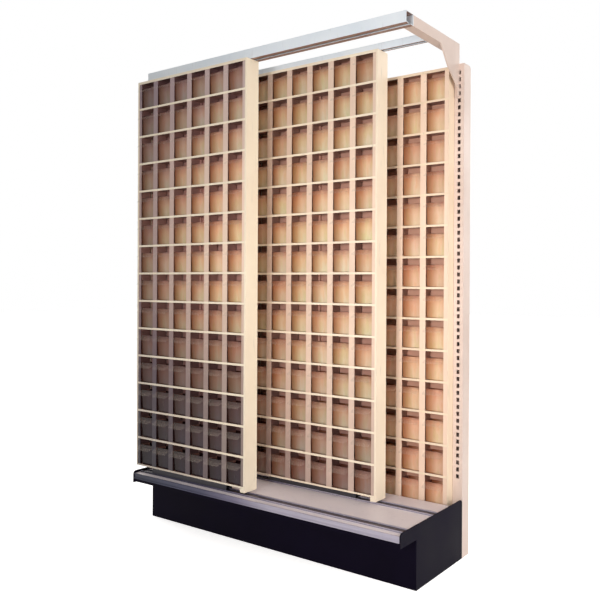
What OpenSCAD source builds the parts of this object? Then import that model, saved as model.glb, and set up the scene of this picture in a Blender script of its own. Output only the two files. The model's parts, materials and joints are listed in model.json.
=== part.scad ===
// Tip-out bin rack: two sliding half-width bin panels in front of a fixed full-width bin bank.
// All lengths are in millimetres. Z is up, Y grows towards the back, X grows to the right.

/* [Rows] */
// Distance from one bin to the next along a row
pitch = 97.3; // [90:0.1:100]
// Height of a row
row_h = 114.3; // [112:0.1:118]
// Depth of the shelves and dividers
unit_d = 56; // [54:0.5:60]
// Thickness of a shelf
shelf_t = 2.4; // [2:0.1:3]
// Width of a divider between two bins
divider_w = 8.8; // [8:0.1:10]
// Width of the face strip in front of a divider
strip_w = 24; // [18:1:28]

/* [Tip-out bins] */
// Side clearance of a bin between two dividers
bin_gap = 0.6; // [0.4:0.1:1]
// Thickness of the bin's glued sheets
bin_wall = 2; // [1.6:0.1:2.4]
// Height of a bin above its shelf
bin_h = 84; // [76:1:88]
// How far the finger lip stands in front of the shelves
lip_reach = 25; // [18:1:28]
// How far the bin's foot stands back behind the face strips
recess = 6; // [4:0.5:8]
// How far the top of the front leans forward
front_lean = 4; // [2:0.5:6]
// Radius of the rod that a row of bins turns on
rod_r = 2.1; // [1.8:0.1:2.2]
// Radial play of the rod in the dividers
rod_play = 0.7; // [0.5:0.1:0.8]

/* [Sliding panels] */
// Width of the side stiles as seen from the front
stile_w = 7; // [5:0.5:9]
// Thickness of a panel's two side bars
side_t = 3.6; // [3:0.1:5]
// Depth of the sheet steel pan
pan_d = 70; // [66:1:76]
// Thickness of the pan's sheet
sheet = 1.5; // [1:0.1:1.8]
// Height of the rail along the front of each shelf
edge_h = 8; // [7:0.1:8.4]
// Height of the folded lip over the top row
pan_lip = 10; // [6:1:14]
// Distance of the front panel's face in front of the uprights
front_y = 430; // [424:1:440]
// Distance of the middle panel's face in front of the uprights
middle_y = 230; // [222:1:238]
// How far the front panel stands out past the left side at rest
overhang = 14; // [4:1:24]
// Distance of the middle panel's left edge from the left side at rest
middle_x = 430; // [340:1:520]

/* [Top] */
// Height of the top arms
arm_h = 36; // [30:1:42]
// Width of the top arms
arm_w = 35; // [30:1:40]
// Depth of the front rail
front_rail_d = 50; // [44:1:54]
// Depth of the middle rail
middle_rail_d = 25; // [24:1:28]
// Height of the middle rail
middle_rail_h = 26; // [24:1:32]
// Wall thickness of the rails and arms
rail_wall = 2; // [1.6:0.1:2.4]
// Distance from the top of the uprights to the underside of the arms
top_drop = 36; // [26:1:46]

/* [Uprights] */
// Width of an upright
upright_w = 38; // [34:1:42]
// Depth of an upright
upright_d = 57; // [50:1:64]
// Wall thickness of an upright
upright_wall = 2; // [1.6:0.1:2.4]
// Spacing of the slots
slot_pitch = 25.4; // [25:0.1:28]
// Width of a slot
slot_w = 11; // [9:0.5:12]
// Height of a slot
slot_h = 15; // [14.4:0.1:16]
// Height of the lowest slot above the floor
slot_low = 295; // [280:1:310]

/* [Base] */
// Height of the deck
deck_z = 204; // [196:1:212]
// Distance of the deck's front edge in front of the uprights
deck_front = 456; // [448:1:466]
// Height of the front lip of the deck
deck_lip = 34; // [28:1:40]
// Distance of the kick plate in front of the uprights
kick_y = 353; // [330:1:370]
// Height by which the end plates stand above the deck
end_rise = 10; // [6:1:14]
// Thickness of the end plates
end_t = 4; // [3:0.5:6]
// Height of the price channel
price_h = 22; // [18:1:26]
// Height of the space between the deck and the sliding panels
ride_h = 27.5; // [24:0.5:32]
// Height of the foot under the right end of a sliding panel
foot_h = 15; // [8:1:15]
// Width of that foot
foot_w = 22; // [16:1:30]
// Distance of the deck's rear edge in front of the rear bank, which leaves room for the lowest bins
deck_gap = 25; // [24:1:36]

/* [Rear bank] */
// Distance of the rear bank's face in front of the uprights
rear_y = 43; // [38:1:48]
// Height of the underside of the rear bank
rear_z = 179; // [170:1:188]

/* [Hidden] */
columns = 6;
rows = 14;
$fn = 48;
// fits
slide_gap = 1.3;
glue = 0.1;
// the bin's rod and the corner round it
corner_r = rod_r + 2.4;
rod_y = corner_r + recess;
rod_z = shelf_t + 0.6 + corner_r;
// bin
bin_w = pitch - strip_w - 2 * bin_gap;
bin_low = rod_z - corner_r;
bin_back = unit_d - 4;
bin_top = shelf_t + bin_h;
face_y = rod_y - corner_r;
lean = front_lean / (bin_top - rod_z);
lip_root = bin_top - 11;
lip_low = bin_top - 19;
lip_high = bin_top - 14;
// the shelves and dividers stand behind the face strips
unit_y = 2 * sheet + glue;
// panels
panel_w = columns * pitch + divider_w + 2 * side_t;
bank_h = rows * row_h;
panel_h = bank_h + 2 * sheet;
panel_z = deck_z + ride_h;
rail_z = panel_z + panel_h + slide_gap;
// rack
rear_w = 2 * columns * pitch + divider_w + 2 * sheet;
rack_w = rear_w + 2 + 2 * upright_w;
half = rack_w / 2;
upright_h = rail_z - top_drop;
slot_x = half - upright_w / 2;
slot_count = floor((upright_h - 30 - slot_low) / slot_pitch) + 1;
rear_d = unit_y + unit_d + sheet;
track_front = front_y - pan_d / 2 + 15;
track_middle = middle_y - pan_d / 2;
front_x = -half - overhang;
mid_x = -half + middle_x;
price_d = 4;
front_end = deck_front + price_d;
// the middle of the box around everything stands at x = 0 and y = 0
box_low = min(-half, front_x);
shift_x = -(box_low + half) / 2;
shift_y = (front_end - upright_d) / 2;
// top
arm_out = slot_x;
arm_in = slot_x - arm_w;
rail_mid_front = front_y - pan_d / 2 - 15;
rail_front = rail_mid_front + front_rail_d / 2;
arm_tip = rail_front - front_rail_d;
front_rail_h = arm_h + 2;
rail_mid_middle = middle_y - pan_d / 2;
hook_t = slot_w / 2 - 0.5;
guide_pin_r = 4;
// base
deck_t = 1.5;
deck_half = half - end_t;
deck_rear = rear_y + deck_gap;
track_t = 2;
track_w = 36;
track_rib = 3;
track_h = 4;
ends_z = deck_z + end_rise;
ends_low = deck_z - deck_lip - 4;

// placing

module in_rack() {
  translate([shift_x, shift_y, 0])
    children();
}

module both_sides() {
  children();
  mirror([1, 0, 0])
    children();
}

// a box from one corner to the opposite one
module block(low, high) {
  translate(low)
    cube(high - low);
}

// points on an arc round [y, z], between two angles
function arc(y, z, r, from, to, n = 6) =
  [for (i = [0:n]) [y + r * cos(from + (to - from) * i / n), z + r * sin(from + (to - from) * i / n)]];

// a profile of [y, z] points drawn along X from x0 to x1
module along_x(x0, x1, points) {
  translate([x0, 0, 0])
    rotate([90, 0, 90])
      linear_extrude(height = x1 - x0)
        polygon(points);
}

// one bin, glued up from flat sheet and centred on x = 0

// the outside of the leaning front at height z
function face(z) = face_y - lean * (z - rod_z);

module cheek(x) {
  difference() {
    along_x(x - bin_wall / 2, x + bin_wall / 2, concat(
      [[face(bin_top), bin_top]],
      arc(rod_y, rod_z, corner_r, 180, 270, 4),
      [[bin_back, bin_low], [bin_back, bin_top - 3]]
    ));
    translate([x, rod_y, rod_z])
      rotate([0, 90, 0])
        cylinder(r = rod_r + 0.2, h = 2 * bin_wall, center = true);
  }
}

module bin() {
  w = bin_w / 2;
  t = bin_wall;
  inner = w - t - glue;
  for (s = [-1, 1])
    cheek(s * (w - t / 2));
  // front
  along_x(-inner, inner, [
    [face(bin_top), bin_top],
    [face(rod_z), rod_z],
    [face(rod_z) + t, rod_z],
    [face(bin_top) + t, bin_top]
  ]);
  // finger lip
  along_x(-w, w, [
    [face(bin_top) - glue, bin_top],
    [-lip_reach, lip_high],
    [-lip_reach, lip_low],
    [face(lip_root) - glue, lip_root]
  ]);
  // floor and back
  block([-inner, rod_y + 1, bin_low], [inner, bin_back - t - glue, bin_low + t]);
  block([-inner, bin_back - t, bin_low], [inner, bin_back, bin_top - 3]);
}

// a row of n bins on their rod, its left end at the origin
module bin_row(n) {
  for (i = [1:n])
    translate([divider_w / 2 + (i - 0.5) * pitch, 0, 0])
      bin();
  translate([3, rod_y, rod_z])
    rotate([0, 90, 0])
      cylinder(r = rod_r, h = n * pitch + divider_w - 6);
}

// the shelves and dividers of a bank with n bins in a row

function row_z(base, row) = base + (rows - row) * row_h;

module shelves(n, base) {
  for (row = [1:rows])
    block([0, 0, row_z(base, row)], [n * pitch + divider_w, unit_d, row_z(base, row) + shelf_t]);
}

module dividers(n, base) {
  for (i = [0:n])
    block([max(0, i * pitch + divider_w / 2 - strip_w / 2), -glue - sheet, base],
          [min(n * pitch + divider_w, i * pitch + divider_w / 2 + strip_w / 2), -glue, row_z(base, 0)]);
  difference() {
    for (row = [1:rows], i = [0:n])
      block([i * pitch, 0, row_z(base, row) + shelf_t], [i * pitch + divider_w, unit_d, row_z(base, row - 1)]);
    for (row = [1:rows])
      translate([2, rod_y, row_z(base, row) + rod_z])
        rotate([0, 90, 0])
          cylinder(r = rod_r + rod_play, h = n * pitch + divider_w - 4);
  }
}

// an open-fronted case of separate sheets, with the rails along the front of its shelves
module sheet_case(w, d, low, high, wall, stile) {
  x0 = wall + glue;
  x1 = w - x0;
  rail_x = max(x0, stile + glue);
  back = d - sheet - glue;
  for (x = [0, w - wall])
    block([x, 0, low], [x + wall, d, high]);
  block([x0, d - sheet, low], [x1, d, high]);
  block([x0, 0, low], [x1, back, low + sheet]);
  block([x0, 0, high - sheet], [x1, back, high]);
  block([x0, 0, low + sheet + glue], [x1, sheet, low + sheet + edge_h - 3]);
  block([x0, 0, high - pan_lip], [x1, sheet, high - sheet - glue]);
  if (stile > wall)
    for (x = [x0, w - stile])
      block([x, 0, low + sheet + edge_h - 3 + glue], [x + stile - x0, sheet, high - pan_lip - glue]);
  for (row = [1:rows - 1])
    block([rail_x, 0, row_z(low + sheet, row) - 3], [w - rail_x, sheet, row_z(low + sheet, row) + edge_h - 3]);
}

// sliding panels

module rear_at() {
  in_rack()
    translate([-rear_w / 2, -rear_y, 0])
      children();
}

module panel_at(x, y) {
  in_rack()
    translate([x, -y, 0])
      children();
}

module panel_frame() {
  top = panel_z + panel_h;
  base = panel_z + sheet;
  back = pan_d - sheet;
  sheet_case(panel_w, pan_d, panel_z, top, side_t, stile_w);
  for (i = [1:3])
    block([i * panel_w / 4 - 12, unit_y + unit_d, base + glue],
          [i * panel_w / 4 + 12, back - glue, top - sheet - glue]);
  block([panel_w - foot_w, 0, panel_z - foot_h], [panel_w, pan_d, panel_z - glue]);
}

module panel_inside() {
  translate([side_t, unit_y, 0])
    children();
}

// the channel under a panel, its two glides in the deck track and its two top guides
module carriage(track_y, rail_y, rail_d) {
  low = deck_z + track_t + track_h + 0.5;
  inset = 95;
  w = track_w / 2 - 2;
  foot = track_w / 2 - track_rib - 1;
  difference() {
    block([inset, track_y - w, low], [panel_w - inset, track_y + w, panel_z]);
    block([inset - 1, track_y - w + 2, low - 1], [panel_w - inset + 1, track_y + w - 2, panel_z - 2]);
  }
  for (x = [inset + 45, panel_w - inset - 45])
    block([x - 30, track_y - foot, deck_z + track_t], [x + 30, track_y + foot, panel_z - 2]);
  for (x = [70, panel_w - 70])
    translate([x, rail_y, panel_z + panel_h]) {
      cylinder(r = guide_pin_r, h = slide_gap + rail_wall + 3);
      translate([0, 0, slide_gap + rail_wall + 3])
        cylinder(r = rail_d / 2 - rail_wall - 1, h = 8);
    }
}

// top

// a downward-open channel with inward lips
module top_channel(x0, x1, mid, d, h) {
  slot = guide_pin_r + 2;
  difference() {
    block([x0, -mid - d / 2, rail_z], [x1, -mid + d / 2, rail_z + h]);
    block([x0 - 1, -mid - d / 2 + rail_wall, rail_z + rail_wall],
          [x1 + 1, -mid + d / 2 - rail_wall, rail_z + h - rail_wall]);
    block([x0 - 1, -mid - slot, rail_z - 1], [x1 + 1, -mid + slot, rail_z + 2 * rail_wall]);
  }
}

module hook(k) {
  z = slot_low + k * slot_pitch - slot_h / 2;
  x = slot_x;
  block([x - hook_t, -1, z], [x, upright_wall + 4, z + slot_h - 4]);
  block([x - hook_t, upright_wall + 0.3, z - 6], [x, upright_wall + 4, z + slot_h - 4]);
}

module arm() {
  leg_low = slot_low + (slot_count - 4) * slot_pitch - 14;
  reach = middle_y - pan_d - 10;
  difference() {
    block([arm_in, -arm_tip, rail_z], [arm_out, 0, rail_z + arm_h]);
    block([arm_in + rail_wall, -arm_tip - 1, rail_z + rail_wall],
          [arm_out - rail_wall, -rail_wall, rail_z + arm_h - rail_wall]);
  }
  along_x(slot_x - hook_t, slot_x, [
    [0, leg_low],
    [0, rail_z + 1],
    [-reach, rail_z + 1],
    [-reach, rail_z],
    [-0.64 * reach, rail_z - 0.4 * (rail_z - leg_low)],
    [-8, leg_low + 30],
    [-8, leg_low]
  ]);
  for (k = [slot_count - 4:slot_count - 2])
    hook(k);
}

// uprights and cross rails

module upright() {
  corner = 14;
  difference() {
    along_x(half - upright_w, half, concat(
      [[0, 0], [upright_d, 0]],
      arc(upright_d - corner, upright_h - corner, corner, 0, 90),
      [[0, upright_h]]
    ));
    block([half - upright_w + upright_wall, upright_wall, -1],
          [half - upright_wall, upright_d - upright_wall, upright_h - 12]);
    for (k = [0:slot_count - 1])
      translate([slot_x, 0, slot_low + k * slot_pitch])
        cube([slot_w, 3 * upright_wall, slot_h], center = true);
  }
}

module cross_rail(y0, y1, z0, z1) {
  x = half - upright_w;
  difference() {
    block([-x, y0, z0], [x, y1, z1]);
    block([-x - 1, y0 + 1.5, z0 + 1.5], [x + 1, y1 - 1.5, z1 - 1.5]);
  }
}

// base

module end_plate() {
  x0 = half - end_t;
  corner = 14;
  along_x(x0, half, concat(
    [[0, 0]],
    arc(-corner, ends_z - corner, corner, 0, 90),
    arc(corner - front_end, ends_z - corner, corner, 90, 180),
    [[-front_end, ends_low], [-kick_y, ends_low], [-kick_y, 0]]
  ));
  block([x0 - 24, -kick_y + 24, deck_z - deck_t - 3], [x0 + 1, -deck_rear - 2, deck_z - deck_t]);
}

module deck() {
  x = deck_half;
  block([-x, -deck_front, deck_z - deck_t], [x, -deck_rear, deck_z]);
  block([-x + 25, -deck_rear - deck_t, deck_z - 18], [x - 25, -deck_rear, deck_z]);
  block([-x + 40, -300, deck_z - 26], [x - 40, -270, deck_z - deck_t]);
  block([-x + 40, -150, deck_z - 26], [x - 40, -120, deck_z - deck_t]);
}

module kick() {
  x = deck_half;
  z = deck_z - deck_t;
  block([-x, -kick_y, 0], [x, -kick_y + 1.5, z]);
  block([-x, -kick_y, z - 1.5], [x, -kick_y + 22, z]);
  both_sides()
    block([x - 1.5, -kick_y, 0], [x, -kick_y + 22, z]);
}

// the folded front of the plinth that carries the deck's front edge and the price channel
module fascia() {
  x = deck_half;
  z = deck_z - deck_t;
  low = deck_z - deck_lip;
  block([-x, -deck_front, low], [x, -deck_front + 1.5, z]);
  block([-x, -deck_front, low], [x, -deck_front + 14, low + 1.5]);
  block([-x, -deck_front, z - 1.5], [x, -deck_front + 14, z]);
}

module price() {
  x = deck_half;
  z0 = deck_z - price_h + 1;
  z1 = deck_z + 1;
  along_x(-x, x, [
    [-deck_front, z0],
    [-deck_front, z1],
    [-front_end, z1],
    [-front_end, z1 - 4],
    [1 - front_end, z1 - 4],
    [1 - front_end, z1 - 1],
    [-deck_front - 1.2, z1 - 1],
    [-deck_front - 1.2, z0 + 1],
    [1 - front_end, z0 + 1],
    [1 - front_end, z0 + 4],
    [-front_end, z0 + 4],
    [-front_end, z0]
  ]);
}

module track(mid) {
  x = deck_half - 6;
  z = deck_z;
  w = track_w / 2;
  along_x(-x, x, [
    [-mid - w, z],
    [-mid + w, z],
    [-mid + w, z + track_t + track_h],
    [-mid + w - track_rib, z + track_t + track_h],
    [-mid + w - track_rib, z + track_t],
    [-mid - w + track_rib, z + track_t],
    [-mid - w + track_rib, z + track_t + track_h],
    [-mid - w, z + track_t + track_h]
  ]);
}

// nodes

module uprights() {
  color("wheat")
    in_rack()
      both_sides()
        upright();
}

module cross_rails() {
  y = rear_d - rear_y;
  color("wheat")
    in_rack() {
      cross_rail(-8, upright_d - 12, rear_z - 44, rear_z);
      cross_rail(y, upright_d - 12, rear_z + bank_h * 0.47, rear_z + bank_h * 0.47 + 50);
      cross_rail(y, upright_d - 12, rear_z + bank_h - 70, rear_z + bank_h - 20);
    }
}

module top_arms() {
  color("wheat")
    in_rack()
      both_sides()
        arm();
}

module top_rails() {
  color("gainsboro")
    in_rack() {
      top_channel(-arm_out, arm_out, rail_mid_front, front_rail_d, front_rail_h);
      top_channel(-arm_in, arm_in, rail_mid_middle, middle_rail_d, middle_rail_h);
    }
}

module plinth() {
  color("black")
    in_rack() {
      both_sides()
        end_plate();
      kick();
      fascia();
    }
}

module base_deck() {
  color("linen")
    in_rack()
      deck();
}

module deck_profiles() {
  color("silver")
    in_rack() {
      price();
      track(track_front);
      track(track_middle);
    }
}

module rear_frame() {
  color("wheat")
    rear_at()
      sheet_case(rear_w, rear_d, rear_z, rear_z + bank_h + 2 * sheet, sheet, 0);
}

module rear_shelves() {
  color("oldlace")
    rear_at()
      translate([sheet, unit_y, 0])
        shelves(2 * columns, rear_z + sheet);
}

module rear_dividers() {
  color("oldlace")
    rear_at()
      translate([sheet, unit_y, 0])
        dividers(2 * columns, rear_z + sheet);
}

module rear_bins(row) {
  color("tan")
    rear_at()
      translate([sheet, unit_y, row_z(rear_z + sheet, row)])
        bin_row(2 * columns);
}

module front_frame() {
  color("wheat")
    panel_at(front_x, front_y)
      panel_frame();
}

module front_shelves() {
  color("oldlace")
    panel_at(front_x, front_y)
      panel_inside()
        shelves(columns, panel_z + sheet);
}

module front_dividers() {
  color("oldlace")
    panel_at(front_x, front_y)
      panel_inside()
        dividers(columns, panel_z + sheet);
}

module front_carriage() {
  color("dimgray")
    panel_at(front_x, front_y)
      carriage(front_y - track_front, front_y - rail_mid_front, front_rail_d);
}

module front_bins(row) {
  color("tan")
    panel_at(front_x, front_y)
      panel_inside()
        translate([0, 0, row_z(panel_z + sheet, row)])
          bin_row(columns);
}

module middle_frame() {
  color("wheat")
    panel_at(mid_x, middle_y)
      panel_frame();
}

module middle_shelves() {
  color("oldlace")
    panel_at(mid_x, middle_y)
      panel_inside()
        shelves(columns, panel_z + sheet);
}

module middle_dividers() {
  color("oldlace")
    panel_at(mid_x, middle_y)
      panel_inside()
        dividers(columns, panel_z + sheet);
}

module middle_carriage() {
  color("dimgray")
    panel_at(mid_x, middle_y)
      carriage(middle_y - track_middle, middle_y - rail_mid_middle, middle_rail_d);
}

module middle_bins(row) {
  color("tan")
    panel_at(mid_x, middle_y)
      panel_inside()
        translate([0, 0, row_z(panel_z + sheet, row)])
          bin_row(columns);
}

uprights();
cross_rails();
top_arms();
top_rails();
plinth();
base_deck();
deck_profiles();
rear_frame();
rear_shelves();
rear_dividers();
front_frame();
front_shelves();
front_dividers();
front_carriage();
middle_frame();
middle_shelves();
middle_dividers();
middle_carriage();
front_bins(1);  // front_bins_01
front_bins(2);  // front_bins_02
front_bins(3);  // front_bins_03
front_bins(4);  // front_bins_04
front_bins(5);  // front_bins_05
front_bins(6);  // front_bins_06
front_bins(7);  // front_bins_07
front_bins(8);  // front_bins_08
front_bins(9);  // front_bins_09
front_bins(10);  // front_bins_10
front_bins(11);  // front_bins_11
front_bins(12);  // front_bins_12
front_bins(13);  // front_bins_13
front_bins(14);  // front_bins_14
middle_bins(1);  // middle_bins_01
middle_bins(2);  // middle_bins_02
middle_bins(3);  // middle_bins_03
middle_bins(4);  // middle_bins_04
middle_bins(5);  // middle_bins_05
middle_bins(6);  // middle_bins_06
middle_bins(7);  // middle_bins_07
middle_bins(8);  // middle_bins_08
middle_bins(9);  // middle_bins_09
middle_bins(10);  // middle_bins_10
middle_bins(11);  // middle_bins_11
middle_bins(12);  // middle_bins_12
middle_bins(13);  // middle_bins_13
middle_bins(14);  // middle_bins_14
rear_bins(1);  // rear_bins_01
rear_bins(2);  // rear_bins_02
rear_bins(3);  // rear_bins_03
rear_bins(4);  // rear_bins_04
rear_bins(5);  // rear_bins_05
rear_bins(6);  // rear_bins_06
rear_bins(7);  // rear_bins_07
rear_bins(8);  // rear_bins_08
rear_bins(9);  // rear_bins_09
rear_bins(10);  // rear_bins_10
rear_bins(11);  // rear_bins_11
rear_bins(12);  // rear_bins_12
rear_bins(13);  // rear_bins_13
rear_bins(14);  // rear_bins_14
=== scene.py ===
"""Tip-out bin rack: finishes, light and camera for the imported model. Lengths are in metres."""
import json
import math

import bpy
from mathutils import Matrix, Vector


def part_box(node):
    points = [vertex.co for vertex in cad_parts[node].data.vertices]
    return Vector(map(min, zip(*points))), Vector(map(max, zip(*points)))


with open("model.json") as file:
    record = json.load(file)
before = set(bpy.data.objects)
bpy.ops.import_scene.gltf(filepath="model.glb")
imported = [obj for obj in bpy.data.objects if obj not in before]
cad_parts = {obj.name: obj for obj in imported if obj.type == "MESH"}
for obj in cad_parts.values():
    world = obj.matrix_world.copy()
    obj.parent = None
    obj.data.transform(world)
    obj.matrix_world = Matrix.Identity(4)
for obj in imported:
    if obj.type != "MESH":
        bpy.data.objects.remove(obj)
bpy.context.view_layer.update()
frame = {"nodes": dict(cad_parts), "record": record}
NODES = frame["nodes"]


# colours

def srgb(r, g, b):
    """A colour written as 0-255 sRGB values, as the linear RGBA that a shader takes."""
    def linear(c):
        c /= 255
        return c / 12.92 if c <= 0.04045 else ((c + 0.055) / 1.055) ** 2.4
    return (linear(r), linear(g), linear(b), 1.0)


def grey(value):
    """A linear grey, for a ramp that feeds a number."""
    return (value, value, value, 1)


def scaled(color, factor):
    return tuple(factor * c for c in color[:3]) + (1,)


WHITE = srgb(255, 255, 255)


# material building blocks

# the sockets of a Mix node that mixes colours
MIX_FACTOR, MIX_LOW, MIX_HIGH = 0, 6, 7
MIX_RESULT = 2


class Nodes:
    """A new material's node tree. Its methods take numbers, colours or output sockets, and return output sockets."""

    def __init__(self, name):
        self.material = bpy.data.materials.new(name)
        self.material.use_nodes = True
        self.tree = self.material.node_tree
        self.tree.nodes.clear()
        self.output = self.add("ShaderNodeOutputMaterial")
        self.shader = self.add("ShaderNodeBsdfPrincipled")
        self.feed(self.output.inputs["Surface"], self.shader.outputs["BSDF"])
        self.place = self.add("ShaderNodeTexCoord").outputs

    def feed(self, target, value):
        """Links an output socket to the target socket, or sets a value on it."""
        if isinstance(value, bpy.types.NodeSocket):
            self.tree.links.new(value, target)
        else:
            target.default_value = value

    def add(self, kind, inputs=(), **settings):
        """A new node, with its (socket, value) inputs fed after its settings are made."""
        node = self.tree.nodes.new(kind)
        for key, value in settings.items():
            setattr(node, key, value)
        for socket, value in inputs:
            self.feed(node.inputs[socket], value)
        return node

    def surface(self, **values):
        """Feeds the shader's sockets: Base_Color stands for its Base Color."""
        for key, value in values.items():
            self.feed(self.shader.inputs[key.replace("_", " ")], value)

    def axes(self, place="Object"):
        """The X, Y and Z of the object's own coordinates, or of its Normal."""
        return self.add("ShaderNodeSeparateXYZ", [("Vector", self.place[place])]).outputs

    def noise(self, scale, detail, stretch=(1, 1, 1)):
        """Noise in the object's own coordinates, scaled along each axis."""
        mapping = self.add("ShaderNodeMapping", [("Vector", self.place["Object"]), ("Scale", stretch)])
        inputs = [("Vector", mapping.outputs["Vector"]), ("Scale", scale), ("Detail", detail), ("Roughness", 0.5)]
        return self.add("ShaderNodeTexNoise", inputs).outputs["Fac"]

    def ramp(self, source, stops):
        """A colour ramp of (position, colour) stops."""
        node = self.add("ShaderNodeValToRGB", [("Fac", source)])
        elements = node.color_ramp.elements
        while len(elements) < len(stops):
            elements.new(0.5)
        for element, (position, color) in zip(elements, stops):
            element.position = position
            element.color = color
        return node.outputs["Color"]

    def mix(self, factor, low, high, blend="MIX"):
        inputs = [(MIX_FACTOR, factor), (MIX_LOW, low), (MIX_HIGH, high)]
        return self.add("ShaderNodeMix", inputs, data_type="RGBA", blend_type=blend).outputs[MIX_RESULT]

    def tone(self, color, by, amount=1.0):
        """The colour multiplied by another, wholly or by an amount."""
        return self.mix(amount, color, by, "MULTIPLY")

    def math(self, operation, *values):
        return self.add("ShaderNodeMath", enumerate(values), operation=operation).outputs["Value"]

    def vector(self, operation, *values):
        return self.add("ShaderNodeVectorMath", enumerate(values), operation=operation).outputs["Vector"]

    def share(self, value, low, high):
        """0 to 1 as the value goes from low to high, and no further."""
        inputs = [("Value", value), ("From Min", low), ("From Max", high)]
        return self.add("ShaderNodeMapRange", inputs).outputs["Result"]

    def bump(self, height, strength, distance):
        node = self.add("ShaderNodeBump", [("Height", height), ("Strength", strength), ("Distance", distance)])
        self.surface(Normal=node.outputs["Normal"])

    def phase(self, value, start, pitch, length):
        """0 to 1 along each bin for bins that repeat at one pitch from start, and the number of the bin."""
        turns = self.math("DIVIDE", self.math("SUBTRACT", value, start), pitch)
        part = self.math("FRACT", turns)
        return self.math("MULTIPLY", part, pitch / length), self.math("FLOOR", turns)

    def corner(self, height, reach, bank):
        """The bank's painted shade for its lower left corner. height and reach go from 0 to 1, upwards and to the
        right.
        """
        return self.ramp(self.math("MULTIPLY_ADD", height, CORNER_RISE, reach), bank["corner"])


# materials

def with_painted_recess(n, outside, bank, recess_shade):
    """The outside colour, and brown painted shade on what lies within the bank's hollow, a (lowest, highest) pair of
    corners.
    The painted shade inside darkens from row to row, and painted shade darkens the outside a little at the lower left."""
    low, high = bank["hollow"]
    centre = [(a + b) / 2 for a, b in zip(low, high)]
    spread = [2 / (b - a) for a, b in zip(low, high)]
    centred = n.vector("SUBTRACT", n.place["Object"], centre)
    turned = n.vector("ABSOLUTE", n.vector("MULTIPLY", centred, spread))
    parts = n.add("ShaderNodeSeparateXYZ", [("Vector", turned)]).outputs
    widest = n.math("MAXIMUM", n.math("MAXIMUM", parts["X"], parts["Y"]), parts["Z"])
    inside = n.math("LESS_THAN", widest, 1.0)
    place = n.axes()
    reach = n.share(place["X"], low[0], high[0])
    height = n.share(place["Z"], low[2], high[2])
    # painted shade: the hollow's brown darkens from row to row, and the outside at the lower left corner
    recess_shade = n.tone(recess_shade, n.ramp(height, bank["rows"]), RECESS_SHADE_TONING)
    outside = n.tone(outside, n.corner(height, reach, bank), CASE_TONING)
    return n.mix(inside, outside, recess_shade)


def powder_coat(name, color, dust, bank=None, recess_shade=None, underside_shade=None):
    """Powder-coated sheet steel: fine orange peel, faint handling marks and a little dust.
    A bank's case takes brown painted shade inside its hollow. An underside colour, where given, is painted shade on
    what faces down."""
    n = Nodes(name)
    cloud = n.noise(5.0, 4.0)
    scuffs = n.ramp(n.noise(60.0, 5.0, stretch=(1, 1, 0.15)), [(0.62, grey(0)), (0.74, grey(1))])
    coat = n.mix(scuffs, n.ramp(cloud, [(0.3, color), (0.75, dust)]), scaled(color, 0.82))
    if recess_shade:
        coat = with_painted_recess(n, coat, bank, recess_shade)
    # painted shade on the faces that face down
    if underside_shade:
        down = n.math("LESS_THAN", n.axes("Normal")["Z"], -0.5)
        coat = n.mix(down, coat, underside_shade)
    n.surface(Base_Color=coat, Roughness=n.ramp(cloud, [(0.3, grey(0.37)), (0.8, grey(0.52))]))
    n.surface(Coat_Weight=0.15, Coat_Roughness=0.25)
    n.bump(n.noise(900.0, 2.0), 0.12, 0.0004)
    return n.material


def clear_sheet(name, bank, tones, cheek):
    """Smoke-tinted sheet, cloudy where goods lie behind it, and darker with painted shade along its left and upper
    edges, on its sides and in the lower rows and left columns.
    The lips are the clearest part. tones are the colours of a face from its foot to its top."""
    n = Nodes(name)
    cloud = n.noise(26.0, 4.0, stretch=(1, 1, 0.5))
    streak = n.noise(60.0, 4.0, stretch=(1, 1, 0.25))
    place = n.axes()
    up_face, row = n.phase(place["Z"], bank["low"], bank["row"], FACE_STRETCH * bank["height"])
    across, column = n.phase(place["X"], bank["left"], bank["pitch"], bank["width"])
    # painted shade: each face darker towards its top
    face = n.ramp(n.math("MULTIPLY_ADD", cloud, CLOUD_SHARE, up_face), tones)
    face = n.tone(face, n.ramp(streak, STREAK_TONES), 0.8)
    # each bin's goods have their own tone, and painted shade darkens the lower rows and left columns
    cell = n.add("ShaderNodeCombineXYZ", [("X", column), ("Y", row)]).outputs["Vector"]
    own = n.add("ShaderNodeTexWhiteNoise", [("Vector", cell)], noise_dimensions="3D").outputs["Value"]
    face = n.tone(face, n.ramp(own, GOODS_TONES), 0.8)
    shelf = n.ramp(n.math("DIVIDE", row, ROWS - 1), bank["rows"])
    face = n.tone(face, shelf)
    face = n.tone(face, n.ramp(n.math("DIVIDE", column, bank["count"] - 1), bank["columns"]))
    # painted shade along each face's left edge
    face = n.tone(face, n.ramp(across, EDGE_TONES))
    # painted shade: the bins' sides take the darker cheek brown
    sideways = n.math("GREATER_THAN", n.math("ABSOLUTE", n.axes("Normal")["X"]), 0.6)
    color = n.mix(sideways, face, n.ramp(streak, [(0.3, cheek), (0.8, scaled(cheek, 1.3))]))
    past_lip = n.math("GREATER_THAN", place["Y"], bank["face"] + LIP_BACK)
    n.surface(Base_Color=n.mix(past_lip, LIP, color))
    n.surface(Roughness=n.ramp(streak, [(0.3, grey(0.16)), (0.75, grey(0.3))]), Specular_IOR_Level=0.2)
    n.bump(n.noise(35.0, 2.0), 0.06, 0.001)
    # the rows darkened by painted shade are also less clear
    shade_opacity = n.math("MULTIPLY_ADD", shelf, -0.2, 0.94)
    n.surface(Alpha=n.math("MULTIPLY_ADD", past_lip, shade_opacity, LIP_ALPHA))
    return n.material


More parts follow.
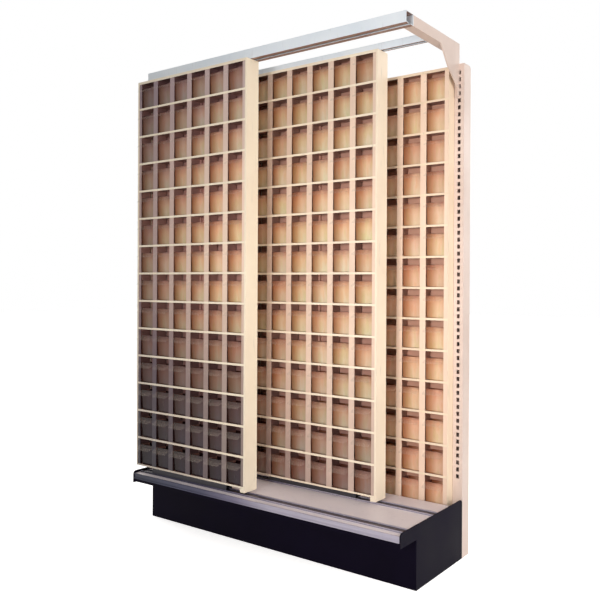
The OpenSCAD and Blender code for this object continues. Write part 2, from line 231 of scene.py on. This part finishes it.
def divider_sheet(name, bank, strip, wall):
    """Moulded divider: a pale face strip along its front, and walls behind it in brown painted shade.
    Painted shade darkens the strip and walls from row to row, and the strip towards the left and at the lower left."""
    n = Nodes(name)
    cloud = n.noise(6.0, 4.0)
    place = n.axes()
    _, row = n.phase(place["Z"], bank["low"], bank["row"], bank["height"])
    _, column = n.phase(place["X"], bank["left"], bank["pitch"], bank["width"])
    height = n.math("DIVIDE", row, ROWS - 1)
    reach = n.math("DIVIDE", column, bank["count"] - 1)
    # painted shade on the strip from row to row, towards the left and at the lower left corner
    row_shade = n.ramp(height, bank["rows"])
    pale = n.ramp(cloud, [(0.3, strip), (0.75, scaled(strip, 0.88))])
    pale = n.tone(pale, row_shade, bank["toning"])
    pale = n.tone(pale, n.ramp(reach, bank["columns"]))
    pale = n.tone(pale, n.corner(height, reach, bank))
    # the walls: brown painted shade, darker from row to row
    brown = n.ramp(cloud, [(0.3, wall), (0.75, scaled(wall, 0.8))])
    brown = n.tone(brown, row_shade, RECESS_SHADE_TONING)
    behind = n.math("GREATER_THAN", place["Y"], bank["face"] + STRIP_BACK)
    n.surface(Base_Color=n.mix(behind, pale, brown))
    n.surface(Roughness=n.ramp(cloud, [(0.3, grey(0.42)), (0.8, grey(0.55))]))
    n.bump(n.noise(700.0, 3.0), 0.15, 0.0003)
    return n.material


def extrusion(name, color, groove):
    """Satin anodised extrusion with draw lines along X, darker towards the left with a painted shadow and a painted
    dark reflection.
    The floor of its grooves is darker with painted shade."""
    n = Nodes(name)
    lines = n.noise(400.0, 3.0, stretch=(0.01, 1, 1))
    place = n.axes()
    metal = n.ramp(lines, [(0.3, color), (0.7, scaled(color, 0.85))])
    # painted shadow and painted reflection, darker towards the left
    metal = n.tone(metal, n.ramp(n.share(place["X"], *EXTRUSION_ENDS), SHADOW_REFLECTION_TONES))
    # painted shade on the grooves' floor
    wear_and_shade = n.math("COMPARE", place["Z"], GROOVE_Z, GROOVE_SPAN)
    n.surface(Base_Color=n.mix(wear_and_shade, metal, groove), Metallic=0.25)
    n.surface(Roughness=n.ramp(lines, [(0.3, grey(0.3)), (0.7, grey(0.45))]))
    n.bump(lines, 0.1, 0.0003)
    return n.material


def satin_black(name, color, wear_and_shade):
    """Near-black satin coat with faint scuffs, hardly shiny."""
    n = Nodes(name)
    cloud = n.noise(7.0, 5.0)
    n.surface(Base_Color=n.ramp(cloud, [(0.4, color), (0.8, wear_and_shade)]), Specular_IOR_Level=0.04)
    n.surface(Roughness=n.ramp(cloud, [(0.3, grey(0.5)), (0.8, grey(0.62))]))
    n.bump(n.noise(800.0, 2.0), 0.1, 0.0003)
    return n.material


def nylon(name, color):
    """Dark moulded nylon with a fine matt grain."""
    n = Nodes(name)
    grain = n.noise(700.0, 3.0)
    n.surface(Base_Color=n.ramp(grain, [(0.3, color), (0.7, scaled(color, 1.4))]), Roughness=0.55)
    n.bump(grain, 0.2, 0.0003)
    return n.material


# finishes

# painted shade that bins, strips and the hollows' brown share, darker in the lower rows and the left columns: ramps
# over the rows from the lowest, and the columns from the left
ROW_TONES = {
    "front": [
        (0.0, srgb(62, 60, 88)), (0.15, srgb(92, 88, 112)), (0.3, srgb(172, 164, 174)), (0.5, WHITE),
        (0.75, srgb(250, 250, 252)), (1.0, srgb(190, 190, 214))
    ],
    "middle": [(0.0, srgb(160, 150, 168)), (0.3, srgb(236, 232, 234)), (0.7, WHITE), (1.0, srgb(228, 226, 228))],
    "rear": [(0.0, srgb(246, 238, 236)), (1.0, srgb(246, 244, 242))],
}
COLUMN_TONES = {
    "front": [(0.0, srgb(190, 186, 200)), (0.3, srgb(226, 222, 228)), (0.8, WHITE)],
    "middle": [(0.0, srgb(232, 228, 230)), (0.6, srgb(248, 248, 248))],
    "rear": [(0.0, WHITE), (1.0, WHITE)],
}
# painted shade at each bank's lower left corner
CORNER_TONES = {
    "front": [(0.0, srgb(124, 122, 146)), (0.5, srgb(196, 190, 204)), (0.95, WHITE)],
    "middle": [(0.0, srgb(196, 190, 196)), (0.5, WHITE)],
    "rear": [(0.0, WHITE), (1.0, WHITE)],
}
CORNER_RISE = 2.0

# a bin's face, from its foot to its top, darker towards the top with painted shade, with a share of cloud that blurs
# the steps
FACE_TONES = {
    "front": [
        (0.2, srgb(255, 236, 200)), (0.6, srgb(255, 214, 178)), (0.8, srgb(232, 184, 156)), (0.94, srgb(180, 132, 118))
    ],
    "middle": [
        (0.2, srgb(255, 244, 214)), (0.6, srgb(255, 224, 190)), (0.8, srgb(238, 194, 164)), (0.94, srgb(188, 140, 122))
    ],
    "rear": [
        (0.2, srgb(255, 234, 206)), (0.6, srgb(250, 216, 190)), (0.8, srgb(238, 194, 168)), (0.94, srgb(188, 140, 124))
    ],
}
FACE_STRETCH = 1.3
CLOUD_SHARE = 0.3
# painted shade across a face from its left edge
EDGE_TONES = [(0.0, srgb(166, 128, 106)), (0.3, srgb(218, 194, 176)), (0.62, WHITE)]
STREAK_TONES = [(0.35, srgb(255, 242, 232)), (0.5, WHITE), (0.65, srgb(246, 250, 234))]
GOODS_TONES = [(0.0, srgb(234, 218, 210)), (0.35, srgb(255, 240, 232)), (0.7, srgb(252, 252, 234)), (1.0, WHITE)]
# the bins' sides: a darker brown that is painted shade
CHEEK = srgb(152, 110, 100)
LIP = srgb(244, 226, 210)
LIP_ALPHA = 0.06

# how strongly the rows' painted shade tones each bank's strips, the brown painted shade of the hollows and walls, and
# how strongly the corner's painted shade tones the case
STRIP_TONING = {"front": 0.75, "middle": 0.5, "rear": 0.3}
RECESS_SHADE_TONING = 0.8
CASE_TONING = 0.45

# the cream and its dust are a little darker towards the rear bank: painted shade
CREAM = {"front": srgb(248, 236, 213), "middle": srgb(246, 232, 209), "rear": srgb(242, 222, 196)}
CREAM_DUST = {"front": srgb(238, 222, 198), "middle": srgb(236, 218, 195), "rear": srgb(232, 208, 182)}
# WALL is brown painted shade for each bank's hollows and divider walls
WALL = {"front": srgb(204, 154, 142), "middle": srgb(204, 156, 138), "rear": srgb(212, 164, 142)}
STRIP = srgb(246, 218, 196)

# the lips and the face strips end this far behind each bank's face
LIP_BACK = 0.0045
STRIP_BACK = 0.00305

# the price channel and tracks: their ends along X, the height of the grooves' floor, and how near counts as on it
EXTRUSION_ENDS = (-0.64, 0.64)
GROOVE_Z, GROOVE_SPAN = 0.206, 0.0006
# painted shadow of the front panel and painted dark reflection, darker towards the left
SHADOW_REFLECTION_TONES = [
    (0.06, srgb(56, 60, 82)), (0.16, srgb(82, 88, 112)), (0.33, srgb(106, 108, 132)), (0.45, srgb(176, 174, 190)),
    (0.58, WHITE)
]

ROWS = 14
BANKS = {"front": 6, "middle": 6, "rear": 12}
# the rod runs past the pitches of its bins by ROD_PAST, and the first bin stands FIRST_BIN from its left end
ROD_PAST = 0.0028
FIRST_BIN = 0.014
BIN_GAP = 0.0252
# the sheet of a case's sides, front rails, and floor, roof and back, with a little to spare
SIDE_SHEET, FRONT_SHEET, SKIN = 0.01, 0.02, 0.001


def bank_grid(bank, columns):
    """Where a bank's face is, and how its bins repeat across and up it."""
    low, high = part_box(bank + "_frame")
    rod, top = (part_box("%s_bins_%02d" % (bank, row)) for row in (ROWS, 1))
    pitch = (rod[1][0] - rod[0][0] - ROD_PAST) / columns
    return {
        "face": low[1],
        "hollow": (
            (low[0] + SIDE_SHEET, low[1] + FRONT_SHEET, low[2] + SKIN),
            (high[0] - SIDE_SHEET, high[1] - SKIN, high[2] - SKIN)
        ),
        "count": columns,
        "rows": ROW_TONES[bank],
        "columns": COLUMN_TONES[bank],
        "corner": CORNER_TONES[bank],
        "toning": STRIP_TONING[bank],
        "left": rod[0][0] + FIRST_BIN,
        "pitch": pitch,
        "width": pitch - BIN_GAP,
        "low": rod[0][2],
        "row": (top[0][2] - rod[0][2]) / (ROWS - 1),
        "height": rod[1][2] - rod[0][2],
    }


# the rails' undersides take a brown painted shade
WHITE_COAT = powder_coat("white_coat", srgb(234, 240, 246), srgb(218, 228, 238), underside_shade=srgb(140, 108, 96))
FINISH = {
    "rail": WHITE_COAT,
    "plinth": satin_black("black_coat", srgb(7, 3, 18), srgb(13, 8, 26)),
    "deck": powder_coat("deck_coat", srgb(234, 224, 226), srgb(218, 208, 212)),
    # the shelves are brown: painted shade of the hollows between the bins
    "shelf": powder_coat("shelf_coat", srgb(190, 142, 130), srgb(164, 120, 112)),
    # the dark groove colour is painted shade
    "profile": extrusion("anodised", srgb(176, 170, 186), srgb(70, 62, 66)),
    "glide": nylon("dark_nylon", srgb(40, 38, 44)),
    "frame": powder_coat("upright_coat", srgb(218, 198, 188), srgb(204, 183, 172)),
}
BANK_FINISH = {}
for bank, columns in BANKS.items():
    grid = bank_grid(bank, columns)
    BANK_FINISH[bank] = {
        "bin": clear_sheet(bank + "_smoke", grid, FACE_TONES[bank], CHEEK),
        "divider": divider_sheet(bank + "_divider", grid, STRIP, WALL[bank]),
        # the case: brown painted shade in its hollow and at its lower left
        "frame": powder_coat(bank + "_coat", CREAM[bank], CREAM_DUST[bank], grid, WALL[bank]),
    }

slots = {part["node"]: part["material_slot"] for part in frame["record"]["subparts"]}
for name, obj in NODES.items():
    bank, slot = name.split("_")[0], slots[name]
    finish = BANK_FINISH.get(bank, {}).get(slot) or FINISH[slot]
    obj.data.materials.clear()
    obj.data.materials.append(finish)


# softened edges

BEVEL = {"frame": 0.0006, "rail": 0.0008, "plinth": 0.0008, "deck": 0.0006, "bin": 0.0004}
for name, obj in NODES.items():
    width = BEVEL.get(slots[name])
    if width:
        bevel = obj.modifiers.new("soft_edges", "BEVEL")
        bevel.width = width
        bevel.segments = 2
        bevel.limit_method = "ANGLE"
        bevel.angle_limit = math.radians(35)
        bevel.harden_normals = False


# camera

# fitted to the photo: its width, the focal length and the height of its centre in pixels
PHOTO = 600
FOCAL_PX = 727.25
CENTRE_V = 283.4
YAW, PITCH, ROLL = (math.radians(a) for a in (36.72, 0.04, 0.28))
CAMERA_AT = Vector((1.7396, -2.2701, 0.9981))
SENSOR = 36

right = Vector((math.cos(YAW), math.sin(YAW), 0))
forward = Vector((-math.sin(YAW) * math.cos(PITCH), math.cos(YAW) * math.cos(PITCH), -math.sin(PITCH)))
up = right.cross(forward)
across = math.cos(ROLL) * right + math.sin(ROLL) * up
upward = -math.sin(ROLL) * right + math.cos(ROLL) * up

camera_data = bpy.data.cameras.new("photo_camera")
camera_data.sensor_width = SENSOR
camera_data.sensor_fit = "HORIZONTAL"
camera_data.lens = SENSOR * FOCAL_PX / PHOTO
camera_data.shift_y = (CENTRE_V - PHOTO / 2) / PHOTO
camera_data.clip_end = 60
camera = bpy.data.objects.new("photo_camera", camera_data)
turn = Matrix((across, upward, -forward)).transposed()
camera.matrix_world = Matrix.Translation(CAMERA_AT) @ turn.to_4x4()
bpy.context.scene.collection.objects.link(camera)
bpy.context.scene.camera = camera


# floor, world and lamps

FLOOR_GLOW = 0.72
WORLD_SEEN, WORLD_LIGHT = 1.0, 0.29


def seen_ray(tree):
    """1 for a ray from the camera, a reflection or clear glass, and 0 for one that only brings light."""
    rays = tree.nodes.new("ShaderNodeLightPath").outputs
    total = rays["Is Camera Ray"]
    for kind in ("Is Glossy Ray", "Is Transmission Ray"):
        node = tree.nodes.new("ShaderNodeMath")
        node.operation = "ADD"
        node.use_clamp = True
        tree.links.new(total, node.inputs[0])
        tree.links.new(rays[kind], node.inputs[1])
        total = node.outputs["Value"]
    return total


def pale_backdrop():
    """A floor that is white to the camera and pale to everything else."""
    n = Nodes("pale_floor")
    n.surface(Base_Color=srgb(236, 234, 232), Roughness=0.8)
    plain = n.shader.outputs["BSDF"]
    glow = n.add("ShaderNodeEmission", [("Color", (1, 1, 1, 1)), ("Strength", FLOOR_GLOW)]).outputs["Emission"]
    both = n.add("ShaderNodeAddShader", [(0, plain), (1, glow)]).outputs["Shader"]
    chosen = n.add("ShaderNodeMixShader", [("Fac", seen_ray(n.tree)), (1, plain), (2, both)])
    n.feed(n.output.inputs["Surface"], chosen.outputs["Shader"])
    return n.material


bpy.ops.mesh.primitive_plane_add(size=40, location=(0, 0, 0))
floor = bpy.context.object
floor.name = "floor"
floor.data.materials.append(pale_backdrop())

world = bpy.data.worlds.new("studio")
bpy.context.scene.world = world
world.use_nodes = True
tree = world.node_tree
tree.nodes.clear()
choose = tree.nodes.new("ShaderNodeMixShader")
output = tree.nodes.new("ShaderNodeOutputWorld")
tree.links.new(seen_ray(tree), choose.inputs["Fac"])
for slot, strength in ((1, WORLD_LIGHT), (2, WORLD_SEEN)):
    sky = tree.nodes.new("ShaderNodeBackground")
    sky.inputs["Color"].default_value = (1, 1, 1, 1)
    sky.inputs["Strength"].default_value = strength
    tree.links.new(sky.outputs["Background"], choose.inputs[slot])
tree.links.new(choose.outputs["Shader"], output.inputs["Surface"])


def softbox(name, place, target, size, power, color=(1, 1, 1), spread=180):
    """A square area lamp that faces target, with its beam limited to spread degrees."""
    data = bpy.data.lights.new(name, "AREA")
    data.size = size
    data.energy = power
    data.color = color
    data.spread = math.radians(spread)
    lamp = bpy.data.objects.new(name, data)
    lamp.location = place
    aim = Vector(target) - Vector(place)
    lamp.rotation_euler = aim.to_track_quat("-Z", "Y").to_euler()
    bpy.context.scene.collection.objects.link(lamp)


softbox("key", (0.9, -2.9, 1.1), (0.62, 0, 0.98), 0.8, 9.6, (1.0, 0.96, 0.92), 68)
softbox("side", (3.3, -0.5, 1.3), (0.2, 0, 1.0), 1.6, 52, (1.0, 0.97, 0.93))
softbox("top", (0.2, -1.2, 4.2), (0, 0, 1.0), 2.0, 10)
softbox("left", (-3.4, 0.9, 1.6), (0, 0.2, 1.0), 1.8, 60, (1.0, 0.98, 0.96))
softbox("back", (0.6, 3.6, 1.9), (0, 0.2, 1.0), 2.0, 60, (1.0, 0.98, 0.96))

bpy.context.scene.view_settings.view_transform = "Standard"
